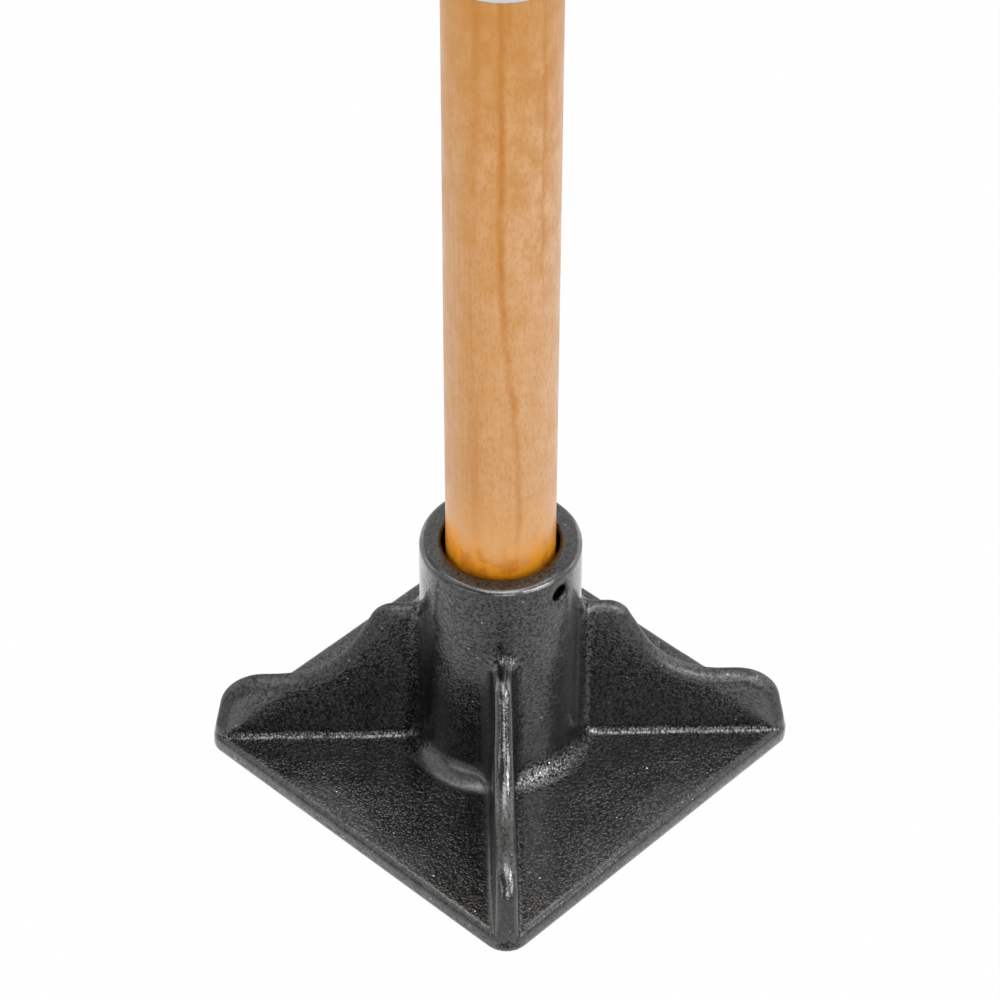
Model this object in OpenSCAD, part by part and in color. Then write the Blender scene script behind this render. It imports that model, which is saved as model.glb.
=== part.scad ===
// Hand tamper: a ribbed cast-iron head on a round hardwood handle.
// Millimetres, +Z up along the handle, origin in the middle of the tamping face.

/* [Base plate] */
// Side of the square tamping face
base_side = 150; // [130:1:200]
// Thickness of the plate
base_thickness = 7; // [5:0.5:12]
// Radius of the plate's four corners, seen from above
base_corner_radius = 6.5; // [5:0.5:12]
// Radius of the plate's rounded upper edge
base_edge_radius = 3; // [1:0.5:4]

/* [Socket] */
// Outside diameter of the handle socket
socket_diameter = 56.4; // [50:0.2:66]
// Height of the socket's rim above the tamping face
socket_height = 98; // [90:1:130]
// Thickness of iron under the handle's foot
socket_floor = 10; // [8:0.5:16]
// Radius of the rim's rounded outer edge
rim_radius = 3; // [1:0.5:3.5]
// Radius of the fillet between the socket and the plate
socket_fillet = 9; // [4:0.5:12]
// Gap round the handle at the socket's mouth
mouth_gap = 1.6; // [0.6:0.1:2.4]
// Gap round the handle at the bottom of the tapered socket
seat_gap = 0.1; // [0.05:0.05:0.4]

/* [Ribs] */
// Height of the ribs' shoulders above the tamping face
shoulder_height = 67; // [58:1:80]
// Length of a shoulder, from the socket wall to where it starts to fall
shoulder_length = 9; // [6:0.5:14]
// Radius of the bend at the end of a shoulder
shoulder_radius = 9; // [5:0.5:12]
// Steepest slope of the ridge below the shoulder, in degrees
ridge_slope = 63; // [52:1:70]
// Radius of the hollow sweep at the foot of the slope
sweep_radius = 32; // [15:1:40]
// Height of the ridge near the corners above the tamping face
ridge_height = 32.6; // [26:0.2:40]
// Radius of the bend at the outer end of the ridge
outer_radius = 16; // [8:0.5:20]
// Lean of the ribs' outer ends, in degrees
end_draft = 11.5; // [4:0.5:18]
// Distance of the ribs' outer ends from the corners' tips, at the plate's top
end_inset = 0.4; // [0.2:0.1:3]
// Thickness of a rib at its shoulder
rib_thickness = 6.2; // [4:0.2:9]
// Draft of each rib face, in degrees
side_draft = 1; // [0.5:0.25:2]
// Radius of the fillet between a rib and the plate
rib_fillet = 4; // [2:0.5:6]
// Radius of the fillet between a rib and the socket
web_fillet = 6; // [3:0.5:8]

/* [Handle] */
// Diameter of the handle
handle_diameter = 38; // [34:0.5:42]
// Length of the handle, including the part inside the socket
handle_length = 1220; // [700:5:1500]
// Width of the chamfer round the handle's foot
foot_chamfer = 2; // [0.5:0.5:4]
// Height of the dome at the handle's top
dome_height = 7; // [3:0.5:14]

/* [Retaining screw] */
// Diameter of the hole in the socket wall
screw_hole_diameter = 7; // [6.6:0.2:9]
// Distance of the hole's centre below the rim
screw_below_rim = 8; // [7:0.5:14]
// Diameter of the screw's head
screw_head_diameter = 6.4; // [5.6:0.2:6.4]
// Height of the head's countersunk cone
screw_head_height = 2.6; // [2:0.2:3.4]
// Outside diameter of the thread
screw_thread_diameter = 4; // [3:0.25:4.5]
// Depth of the thread's groove
thread_depth = 0.6; // [0.3:0.1:0.8]
// Distance from one thread turn to the next
thread_pitch = 1.6; // [1.2:0.1:2.4]
// Length of the screw, from the top of its head to its point
screw_length = 25; // [16:1:32]
// Width of the driver slot
slot_width = 0.9; // [0.6:0.1:1.2]
// Depth of the driver slot
slot_depth = 1; // [0.6:0.1:1.4]
// Room between the screw and the hole drilled for it in the wood
pilot_gap = 0.05; // [0.02:0.01:0.1]

/* [Label] */
// Distance from the rim to the label's lower edge
label_above_rim = 231; // [120:1:300]
// Height of the label
label_height = 110; // [40:1:180]
// Thickness of the paper
label_thickness = 0.2; // [0.1:0.05:0.4]
// Thickness of the glue under the paper
label_glue = 0.05; // [0.02:0.01:0.1]
// Open seam between the label's two ends, in degrees round the handle
label_seam = 6; // [2:1:40]

/* [Hidden] */

$fn = 96;
// Straight steps that make up a rounded stretch of a rib's outline
arc_steps = 10;
// How far a cutting shape runs past the face it cuts
overrun = 1;
// Straight stretch that is always left between two bends of the ridge
least_run = 1;
// How far the hollow of a web fillet cuts into the socket and the rib, so that they cross cleanly
web_bite = 0.3;
// How far the ribs' ends stay inside the plate's outline
trim_inset = 0.2;

iron_colour = [0.16, 0.16, 0.16];
wood_colour = [0.82, 0.57, 0.30];
steel_colour = [0.55, 0.56, 0.58];
paper_colour = [0.93, 0.94, 0.96];

handle_radius = handle_diameter / 2;
socket_radius = socket_diameter / 2;
corner_middle = base_side / 2 - base_corner_radius;
corner_reach = corner_middle * sqrt(2) + base_corner_radius;
handle_top = socket_floor + handle_length;
thread_radius = screw_thread_diameter / 2;

// Ridge line of a rib: r is measured from the handle's axis along the diagonal
shoulder_reach = socket_radius + shoulder_length;
ridge_drop = shoulder_height - ridge_height;
end_turn = 90 - end_draft;
outer_end_height = ridge_height - outer_radius * (1 - cos(end_turn));
outer_bend_reach = end_reach(outer_end_height) - outer_radius * sin(end_turn);
// Largest sum of the two bends' radii for which the slope still fits between them
slope_run = ridge_drop / tan(ridge_slope);
radii_by_reach = (outer_bend_reach - least_run - shoulder_reach - slope_run) / tan(ridge_slope / 2);
radii_by_drop = (ridge_drop - least_run) / (1 - cos(ridge_slope));
sweep = min(sweep_radius, min(radii_by_reach, radii_by_drop) - shoulder_radius);
bends = shoulder_radius + sweep;
sweep_end = shoulder_reach + bends * tan(ridge_slope / 2) + slope_run;

// Half the thickness of a rib at a height above the tamping face
function rib_half(z) = rib_thickness / 2 + (shoulder_height - z) * tan(side_draft);

// Distance of a rib's leaning outer end from the handle's axis at a height above the tamping face
function end_reach(z) = corner_reach - end_inset - (z - base_thickness) * tan(end_draft);

// Points of a circular stretch about a centre, from one angle to another
function arc(centre, radius, from, to) =
    [for (i = [0:arc_steps])
        let (a = from + (to - from) * i / arc_steps)
        centre + radius * [cos(a), sin(a)]];

// Side view of a rib as [r, z] points, from the axis to the plate's corner
function rib_outline(bottom) = concat(
    [[0, bottom], [0, shoulder_height]],
    arc([shoulder_reach, shoulder_height - shoulder_radius], shoulder_radius, 90, 90 - ridge_slope),
    arc([sweep_end, ridge_height + sweep], sweep, 270 - ridge_slope, 270),
    arc([outer_bend_reach, ridge_height - outer_radius], outer_radius, 90, 90 - end_turn),
    [[end_reach(bottom), bottom]]
);

// Right half of a rib's cross-section as [s, z] points, with the fillet at its root
function rib_half_section(bottom) =
    let (
        fillet_middle = rib_half(base_thickness) + rib_fillet * (1 / cos(side_draft) - tan(side_draft))
    )
    concat(
        [[fillet_middle, bottom]],
        arc([fillet_middle, base_thickness + rib_fillet], rib_fillet, 270, 180 + side_draft),
        [[rib_half(shoulder_height + overrun), shoulder_height + overrun]]
    );

function mirrored(points) = [for (i = [len(points) - 1:-1:0]) [-points[i][0], points[i][1]]];

// Places its child at each of the four corners' azimuths
module on_diagonals() {
    for (quarter = [0:3])
        rotate([0, 0, 45 + 90 * quarter])
            children();
}

// Outline of the plate seen from above, drawn in by an inset all round
module base_outline(inset) {
    side = base_side - 2 * inset;
    square([side, 2 * corner_middle], center = true);
    square([2 * corner_middle, side], center = true);
    for (x = [-1, 1], y = [-1, 1])
        translate([x * corner_middle, y * corner_middle])
            circle(r = base_corner_radius - inset);
}

// Half-width profile of the plate's rim: square below, round on the upper edge
module base_rim_profile(width) {
    square([width - base_edge_radius, base_thickness]);
    square([width, base_thickness - base_edge_radius]);
    translate([width - base_edge_radius, base_thickness - base_edge_radius])
        circle(r = base_edge_radius);
}

module base_plate() {
    translate([-corner_middle, -corner_middle, 0])
        cube([2 * corner_middle, 2 * corner_middle, base_thickness]);
    for (quarter = [0:3])
        rotate([0, 0, 90 * quarter]) {
            translate([corner_middle, corner_middle, 0])
                rotate_extrude(angle = 90)
                    base_rim_profile(base_corner_radius);
            translate([corner_middle, corner_middle, 0])
                rotate([90, 0, 0])
                    linear_extrude(2 * corner_middle)
                        base_rim_profile(base_corner_radius);
        }
}

// One rib along +X, with its root fillets, from the axis to the corner
module rib() {
    bottom = base_thickness - base_edge_radius;
    half_section = rib_half_section(bottom);
    width = half_section[0][0] + overrun;
    intersection() {
        translate([0, width, 0])
            rotate([90, 0, 0])
                linear_extrude(2 * width)
                    polygon(rib_outline(bottom));
        rotate([90, 0, 90])
            linear_extrude(end_reach(bottom) + overrun)
                polygon(concat(half_section, mirrored(half_section)));
    }
}

// Upright fillet on one side of a rib along +X, where it leaves the socket
module web_corner() {
    side = rib_half(shoulder_height) - web_bite;
    middle_reach = sqrt((socket_radius + web_fillet - web_bite) ^ 2 - (side + web_fillet) ^ 2);
    middle = [middle_reach, side + web_fillet];
    turn = atan2(side + web_fillet, middle_reach);
    translate([0, 0, base_thickness / 2])
        linear_extrude(shoulder_height - base_thickness / 2)
            polygon(concat(
                [[0, 0], [middle_reach, 0]],
                arc(middle, web_fillet, 270, 180 + turn)
            ));
}

// Outer shape of the socket, with the fillet that spreads onto the plate
module socket_body() {
    rotate_extrude()
        difference() {
            union() {
                square([socket_radius - rim_radius, socket_height]);
                square([socket_radius, socket_height - rim_radius]);
                translate([socket_radius - rim_radius, socket_height - rim_radius])
                    circle(r = rim_radius);
                square([socket_radius + socket_fillet, base_thickness + socket_fillet]);
            }
            translate([socket_radius + socket_fillet, base_thickness + socket_fillet])
                circle(r = socket_fillet);
        }
}

// Tapered blind hole for the handle
module socket_bore() {
    translate([0, 0, socket_floor])
        cylinder(
            h = socket_height - socket_floor,
            r1 = handle_radius + seat_gap,
            r2 = handle_radius + mouth_gap
        );
}

// Places a child that is drawn along +Z so that it points inwards through the screw hole
module at_screw(reach) {
    translate([reach, 0, socket_height - screw_below_rim])
        rotate([0, -90, 0])
            children();
}

module tamper_head() {
    color(iron_colour)
        difference() {
            union() {
                base_plate();
                socket_body();
                intersection() {
                    on_diagonals() {
                        rib();
                        web_corner();
                        mirror([0, 1, 0])
                            web_corner();
                    }
                    linear_extrude(shoulder_height + overrun)
                        base_outline(trim_inset);
                }
            }
            socket_bore();
            at_screw(socket_radius + overrun)
                cylinder(d = screw_hole_diameter, h = socket_radius);
        }
}

// Screw along +Z, from the top of its head to its point
module screw_shape() {
    root_radius = thread_radius - thread_depth;
    point_length = screw_thread_diameter;
    thread_start = screw_head_height + screw_thread_diameter;
    thread_end = screw_length - point_length;
    turns = floor((thread_end - thread_start) / thread_pitch);
    cylinder(h = screw_head_height, r1 = screw_head_diameter / 2, r2 = thread_radius);
    translate([0, 0, screw_head_height])
        cylinder(h = thread_start - screw_head_height, r = thread_radius);
    translate([0, 0, thread_start])
        cylinder(h = thread_end - thread_start, r = root_radius);
    for (turn = [0:turns - 1])
        translate([0, 0, thread_start + turn * thread_pitch])
            cylinder(h = thread_pitch, r1 = thread_radius, r2 = root_radius);
    translate([0, 0, thread_end])
        cylinder(h = point_length, r1 = root_radius, r2 = 0);
}

// Countersunk hole in the wood for the screw, drawn along +Z as the screw is
module pilot_hole() {
    head_radius = screw_head_diameter / 2 + pilot_gap;
    shank_radius = thread_radius + pilot_gap;
    translate([0, 0, -overrun])
        cylinder(h = overrun, r = head_radius);
    cylinder(h = screw_head_height, r1 = head_radius, r2 = shank_radius);
    cylinder(h = screw_length + pilot_gap, r = shank_radius);
}

module handle() {
    dome_radius = (handle_radius ^ 2 + dome_height ^ 2) / (2 * dome_height);
    color(wood_colour)
        difference() {
            union() {
                translate([0, 0, socket_floor])
                    cylinder(h = foot_chamfer, r1 = handle_radius - foot_chamfer, r2 = handle_radius);
                translate([0, 0, socket_floor + foot_chamfer])
                    cylinder(h = handle_length - foot_chamfer - dome_height, r = handle_radius);
                intersection() {
                    translate([0, 0, handle_top - dome_height])
                        cylinder(h = dome_height, r = handle_radius);
                    translate([0, 0, handle_top - dome_radius])
                        sphere(r = dome_radius);
                }
            }
            at_screw(handle_radius)
                pilot_hole();
        }
}

module handle_screw() {
    color(steel_colour)
        at_screw(handle_radius)
            difference() {
                screw_shape();
                translate([-screw_head_diameter, -slot_width / 2, -overrun])
                    cube([2 * screw_head_diameter, slot_width, slot_depth + overrun]);
            }
}

// Paper band round the handle, with its seam at the back
module handle_label() {
    color(paper_colour)
        translate([0, 0, socket_height + label_above_rim])
            rotate([0, 0, 135 + label_seam / 2])
                rotate_extrude(angle = 360 - label_seam)
                    translate([handle_radius + label_glue, 0])
                        square([label_thickness, label_height]);
}

tamper_head();
handle();
handle_screw();
handle_label();
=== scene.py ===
"""Looks of the hand tamper: a ribbed iron casting on a varnished hardwood handle.

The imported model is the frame. Each sub-assembly below is a class that works out its surface with numpy,
in millimetres, and turns it into one Blender mesh in metres, in the same place as its CAD node.
"""

import logging
import math
from collections.abc import Callable
from dataclasses import dataclass
from enum import Enum

import bpy
import numpy as np
from mathutils import Matrix, Vector


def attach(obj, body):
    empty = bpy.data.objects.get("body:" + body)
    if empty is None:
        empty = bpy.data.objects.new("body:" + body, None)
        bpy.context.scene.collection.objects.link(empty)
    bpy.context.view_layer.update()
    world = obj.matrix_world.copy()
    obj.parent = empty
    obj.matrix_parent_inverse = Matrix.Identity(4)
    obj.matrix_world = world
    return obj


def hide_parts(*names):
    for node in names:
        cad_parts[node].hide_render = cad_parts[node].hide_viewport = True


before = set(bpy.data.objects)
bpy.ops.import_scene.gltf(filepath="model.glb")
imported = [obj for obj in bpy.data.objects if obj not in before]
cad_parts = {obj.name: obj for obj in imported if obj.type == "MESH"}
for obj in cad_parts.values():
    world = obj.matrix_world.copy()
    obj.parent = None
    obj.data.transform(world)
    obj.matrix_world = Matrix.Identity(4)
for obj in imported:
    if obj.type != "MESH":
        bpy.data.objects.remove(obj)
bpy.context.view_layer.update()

log = logging.getLogger("hand_tamper")

Array = np.ndarray
Field = Callable[[Array], Array]
Span = tuple[float, float]
Triple = tuple[float, float, float]
Colour = tuple[float, float, float, float]
Socket = bpy.types.NodeSocket
Feed = float | tuple[float, ...] | Socket
Feeds = dict[str | int, Feed]

METRES_PER_MM = 0.001
WHOLE: Span = (0.0, 1.0)
WHITE: Colour = (1.0, 1.0, 1.0, 1.0)
BODY = "root"


class Piece(Enum):
    """CAD nodes of the tool, each with the material slot of its finish."""

    HEAD = ("tamper_head", "black_iron")
    HANDLE = ("handle", "varnished_wood")
    SCREW = ("handle_screw", "screw_steel")
    LABEL = ("handle_label", "label_paper")

    @property
    def node(self) -> str:
        """Name of the CAD node."""
        return self.value[0]

    @property
    def slot(self) -> str:
        """Name of the record's material slot."""
        return self.value[1]


class Axis(Enum):
    """Directions of the grid lines of a surface net."""

    X = 0
    Y = 1
    Z = 2


class Skin(Enum):
    """Vertex attributes of the casting that its paint reads."""

    COARSENESS = "coarseness"
    CONTRAST = "contrast"
    SHINE = "shine"
    DULLNESS = "dullness"


def put_mesh(piece: Piece, points: Array, faces: list, material: bpy.types.Material) -> bpy.types.Object:
    """Makes a smooth mesh that stands for a CAD node and rides on the tool's body.

    Args:
        piece: The CAD node that the mesh replaces.
        points: Places of the vertices in millimetres, one row each.
        faces: Vertex numbers of the faces.
        material: Finish of the whole mesh.

    Returns:
        The new object, at the origin.
    """
    mesh = bpy.data.meshes.new(piece.node + "_surface")
    mesh.from_pydata(points * METRES_PER_MM, [], faces)
    mesh.polygons.foreach_set("use_smooth", np.ones(len(mesh.polygons), dtype=bool))
    mesh.materials.append(material)
    mesh.validate()
    mesh.update()
    thing = bpy.data.objects.new(piece.node + "_dressed", mesh)
    bpy.context.scene.collection.objects.link(thing)
    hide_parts(piece.node)
    piece.slot
    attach(thing, BODY)
    return thing


def put_values(thing: bpy.types.Object, skin: Skin, values: Array) -> None:
    """Stores one number per vertex as an attribute that materials can read."""
    attribute = thing.data.attributes.new(skin.value, "FLOAT", "POINT")
    attribute.data.foreach_set("value", values.astype(np.float32))


def smooth_step(values: Array, low: float, high: float) -> Array:
    """Goes from 0 below low to 1 above high along 3t^2 - 2t^3."""
    share = np.clip((values - low) / (high - low), 0.0, 1.0)
    return share * share * (3.0 - 2.0 * share)


def round_union(first: Array, second: Array, radius: Array | float) -> Array:
    """Joins two distance fields with a hollow fillet.

    The nearer field holds beyond the radius. Closer in, the distance is the radius minus the length of the
    two shortfalls, which is a quarter circle.

    Args:
        first: Distances to the first shape.
        second: Distances to the second shape.
        radius: Radius of the fillet, one for all points or one for each.

    Returns:
        Distances to the joined shape.
    """
    nearer = np.maximum(radius, np.minimum(first, second))
    return nearer - np.hypot(np.maximum(radius - first, 0.0), np.maximum(radius - second, 0.0))


def round_overlap(first: Array, second: Array, radius: float) -> Array:
    """Keeps what two distance fields share, with the edge between them rounded.

    Args:
        first: Distances to the first shape.
        second: Distances to the second shape.
        radius: Radius of the rounded edge.

    Returns:
        Distances to the shared shape.
    """
    farther = np.minimum(-radius, np.maximum(first, second))
    return farther + np.hypot(np.maximum(radius + first, 0.0), np.maximum(radius + second, 0.0))


@dataclass(frozen=True)
class Undulation:
    """Slow waves of a cast or turned surface: random heights on a lattice, eased between its points."""

    spacing: float
    seed: int
    lattice: int = 32

    def heights(self, points: Array) -> Array:
        """Waves between -1 and 1 at points.

        Each lattice point has a random height. A value is the mix of the eight round it, with weights
        that ease along 3t^2 - 2t^3.

        Args:
            points: Places in millimetres, one row each.

        Returns:
            One height per point.
        """
        table = np.random.default_rng(self.seed).uniform(-1.0, 1.0, (self.lattice,) * 3)
        scaled = points / self.spacing
        base = np.floor(scaled).astype(int)
        share = smooth_step(scaled - base, 0.0, 1.0)
        total = np.zeros(len(points))
        for corner in np.ndindex(2, 2, 2):
            cell = (base + corner) % self.lattice
            weight = np.prod(np.where(corner, share, 1.0 - share), axis=1)
            total += weight * table[cell[:, 0], cell[:, 1], cell[:, 2]]
        return total


@dataclass(frozen=True)
class SurfaceNet:
    """Skins a distance field with quads, one vertex in each grid cell that the surface crosses."""

    low: Triple
    high: Triple
    step: float
    rounds: int = 3
    probe: float = 0.04
    least_slope: float = 1e-3

    def slopes(self, distance: Field, points: Array) -> Array:
        """Gradient of the field, from differences across a short probe.

        Args:
            distance: The field.
            points: Where the gradient is wanted, one row each.

        Returns:
            One gradient per point.
        """
        offsets = np.eye(3) * self.probe
        sides = [distance(points + offset) - distance(points - offset) for offset in offsets]
        return np.stack(sides, axis=1) / (2.0 * self.probe)

    def settle(self, distance: Field, points: Array) -> Array:
        """Moves points onto the surface by one Newton step along the gradient.

        The step is the distance over the squared length of the gradient, and never longer than a cell.

        Args:
            distance: Field that is zero on the surface.
            points: Places near the surface, one row each.

        Returns:
            The moved points.
        """
        slope = self.slopes(distance, points)
        steepness = np.maximum(np.sum(slope * slope, axis=1), self.least_slope)
        reach = np.clip(distance(points) / steepness, -self.step, self.step)
        return points - slope * reach[:, None]

    def skin(self, distance: Field) -> tuple[Array, Array]:
        """Vertices and outward quads of the surface where the field is zero.

        A cell's vertex is the mean of the crossings on its edges. It is then evened out between its
        neighbours and moved back onto the surface, a few times.

        Args:
            distance: Field that is negative inside.

        Returns:
            Vertex places, one row each, and the four vertex numbers of each quad.
        """
        axes = [np.arange(low, high + self.step, self.step) for low, high in zip(self.low, self.high)]
        grid = np.stack(np.meshgrid(*axes, indexing="ij"), axis=-1)
        values = distance(grid.reshape(-1, 3)).reshape(grid.shape[:3])
        inside = values < 0.0
        cells = tuple(size - 1 for size in values.shape)
        total = np.zeros(cells + (3,))
        count = np.zeros(cells)
        crossings = []
        for axis in Axis:
            lower = tuple(slice(None, -1) if other is axis else slice(None) for other in Axis)
            upper = tuple(slice(1, None) if other is axis else slice(None) for other in Axis)
            crosses = inside[lower] != inside[upper]
            gap = np.where(crosses, values[lower] - values[upper], 1.0)
            place = grid[lower].copy()
            place[..., axis.value] += self.step * values[lower] / gap
            place[~crosses] = 0.0
            for shift in np.ndindex(2, 2):
                starts = np.insert(shift, axis.value, 0)
                window = tuple(slice(start, start + size) for start, size in zip(starts, cells))
                total += place[window]
                count += crosses[window]
            edges = np.argwhere(crosses)
            crossings.append((axis.value, edges, inside[tuple(edges.T)]))
        used = count > 0
        number = np.full(cells, -1)
        number[used] = np.arange(np.count_nonzero(used))
        points = total[used] / count[used][:, None]
        quads = np.concatenate([self.quads(number, *crossing) for crossing in crossings])
        for _ in range(self.rounds):
            points = self.settle(distance, self.evened(points, quads))
        return self.settle(distance, points), quads

    @staticmethod
    def quads(number: Array, axis: int, edges: Array, starts_inside: Array) -> Array:
        """Joins the four cells round each crossed grid edge, turned so that the quad faces outwards.

        Args:
            number: Vertex number of each cell.
            axis: Direction of the edges.
            edges: Grid places where the edges start, one row each.
            starts_inside: Whether each edge starts inside the surface.

        Returns:
            Four vertex numbers per edge.
        """
        first = np.eye(3, dtype=int)[(axis + 1) % 3]
        second = np.eye(3, dtype=int)[(axis + 2) % 3]
        corners = (edges - first - second, edges - second, edges, edges - first)
        quads = np.stack([number[tuple(corner.T)] for corner in corners], axis=1)
        return np.where(starts_inside[:, None], quads, quads[:, ::-1])

    @staticmethod
    def evened(points: Array, quads: Array) -> Array:
        """Moves each vertex half of the way to the mean of its neighbours.

        Args:
            points: Vertex places, one row each.
            quads: Four vertex numbers of each quad.

        Returns:
            The moved vertices.
        """
        here = quads.ravel()
        there = np.roll(quads, -1, axis=1).ravel()
        count = np.bincount(here, minlength=len(points))
        sums = [np.bincount(here, weights=points[there, axis.value], minlength=len(points)) for axis in Axis]
        return 0.5 * points + 0.5 * np.stack(sums, axis=1) / count[:, None]


def revolve(profile: Array, around: int) -> tuple[Array, list]:
    """Turns a profile round the Z axis, and closes it at both ends with one pole vertex.

    Point (r, z) of the profile at angle t becomes (r cos t, r sin t, z).

    Args:
        profile: Rows of r and z, from the lower pole to the upper pole.
        around: Number of steps round the axis.

    Returns:
        Vertex places and the faces, triangles at the poles and quads between them.
    """
    angle = np.linspace(0.0, 2.0 * np.pi, around, endpoint=False)
    radius, height = profile[1:-1].T
    ring = np.stack(
        [np.outer(radius, np.cos(angle)), np.outer(radius, np.sin(angle)), np.outer(height, np.ones(around))],
        axis=-1,
    )
    poles = np.array([[0.0, 0.0, profile[0, 1]], [0.0, 0.0, profile[-1, 1]]])
    points = np.concatenate([ring.reshape(-1, 3), poles])
    number = np.arange(len(radius) * around).reshape(len(radius), around)
    ahead = np.roll(number, -1, axis=1)
    quads = np.stack([number[:-1], ahead[:-1], ahead[1:], number[1:]], axis=-1).reshape(-1, 4)
    foot = np.full(around, number.size)
    tip = np.full(around, number.size + 1)
    lower = np.stack([foot, ahead[0], number[0]], axis=1)
    upper = np.stack([tip, number[-1], ahead[-1]], axis=1)
    return points, quads.tolist() + lower.tolist() + upper.tolist()


class NodeSheet:
    """A node tree with short calls that add nodes and wire them."""

    def __init__(self, tree: bpy.types.NodeTree) -> None:
        """Clears the tree."""
        self.tree = tree
        tree.nodes.clear()

    def add(self, kind: str, feeds: Feeds | None = None, **settings: object) -> bpy.types.Node:
        """Adds a node.

        Args:
            kind: Blender's name of the node type.
            feeds: What goes into its sockets, a constant or another node's socket.
            settings: Properties of the node.

        Returns:
            The new node.
        """
        node = self.tree.nodes.new(kind)
        for name, value in settings.items():
            setattr(node, name, value)
        for key, value in (feeds or {}).items():
            if isinstance(value, Socket):
                self.tree.links.new(value, node.inputs[key])
            else:
                node.inputs[key].default_value = value
        return node

    def math(self, operation: str, first: Feed, second: Feed = 0.0) -> Socket:
        """Result of one arithmetic step."""
        return self.add("ShaderNodeMath", {0: first, 1: second}, operation=operation).outputs[0]

    def plus(self, first: Feed, second: Feed) -> Socket:
        """Sum of two values."""
        return self.math("ADD", first, second)

    def times(self, first: Feed, second: Feed) -> Socket:
        """Product of two values."""
        return self.math("MULTIPLY", first, second)

    def dot(self, first: Feed, second: Feed) -> Socket:
        """Length of one vector along another of length 1."""
        node = self.add("ShaderNodeVectorMath", {0: first, 1: second}, operation="DOT_PRODUCT")
        return node.outputs["Value"]

    def spread(self, value: Feed, span: Span, result: Span) -> Socket:
        """Value moved smoothly from one span to another, and held at its ends.

        Args:
            value: What is moved.
            span: Where it comes from.
            result: Where it goes, start for start and end for end.

        Returns:
            The moved value.
        """
        feeds = {"Value": value}
        feeds["From Min"], feeds["From Max"] = span
        feeds["To Min"], feeds["To Max"] = result
        return self.add("ShaderNodeMapRange", feeds, interpolation_type="SMOOTHSTEP").outputs["Result"]

    def tint(self, share: Feed, first: Feed, second: Feed) -> Socket:
        """Mix of two colours."""
        return self.add("ShaderNodeMix", {"Factor": share, 6: first, 7: second}, data_type="RGBA").outputs[2]

    def place(self, stretch: Triple = (1.0, 1.0, 1.0)) -> Socket:
        """Object coordinates, each times its stretch."""
        source = self.add("ShaderNodeTexCoord").outputs["Object"]
        return self.add("ShaderNodeMapping", {"Vector": source, "Scale": stretch}).outputs["Vector"]

    def height(self, place: Socket) -> Socket:
        """Z of a place."""
        return self.add("ShaderNodeSeparateXYZ", {0: place}).outputs["Z"]

    def attribute(self, skin: Skin) -> Socket:
        """Value of a vertex attribute."""
        return self.add("ShaderNodeAttribute", attribute_name=skin.value).outputs["Fac"]


def new_group(name: str, takes: dict[str, float | None], gives: str) -> bpy.types.NodeTree:
    """Makes an empty shader group with named sockets.

    Args:
        name: Name of the group.
        takes: Input sockets with their usual values; None stands for a vector.
        gives: The output socket, a plain value.

    Returns:
        The group's tree.
    """
    tree = bpy.data.node_groups.new(name, "ShaderNodeTree")
    for label, usual in takes.items():
        kind = "NodeSocketVector" if usual is None else "NodeSocketFloat"
        socket = tree.interface.new_socket(label, in_out="INPUT", socket_type=kind)
        if usual is not None:
            socket.default_value = usual
    tree.interface.new_socket(gives, in_out="OUTPUT", socket_type="NodeSocketFloat")
    return tree


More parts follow.
